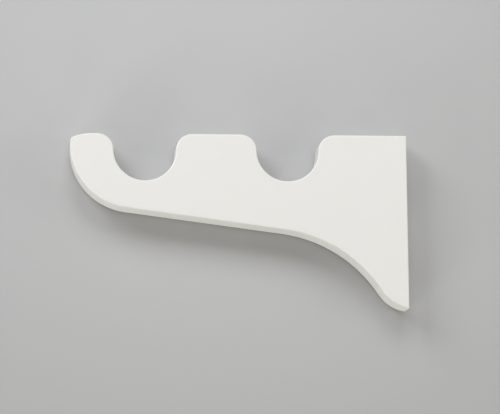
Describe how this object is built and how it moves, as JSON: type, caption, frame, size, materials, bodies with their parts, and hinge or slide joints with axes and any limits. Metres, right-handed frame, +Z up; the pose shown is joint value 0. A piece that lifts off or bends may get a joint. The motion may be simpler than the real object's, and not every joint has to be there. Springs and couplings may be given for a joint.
{
  "type": "double curtain rod bracket",
  "caption": "White painted wooden wall bracket: a shaped board with open half-round cups along its top that cradle curtain poles, a sloping arm and a curved foot.",
  "frame": {"origin": "centre of the wall face, on the wall plane", "axes": "+X into the wall, the arm reaches out along -X; +Y across the board's thickness; +Z up, the way the cups open"},
  "size_m": [0.205, 0.019, 0.106],
  "materials": {
    "painted_wood": "satin white paint over sanded wood"
  },
  "bodies": {
    "root": {"bracket": "painted_wood"}
  },
  "joints": []
}
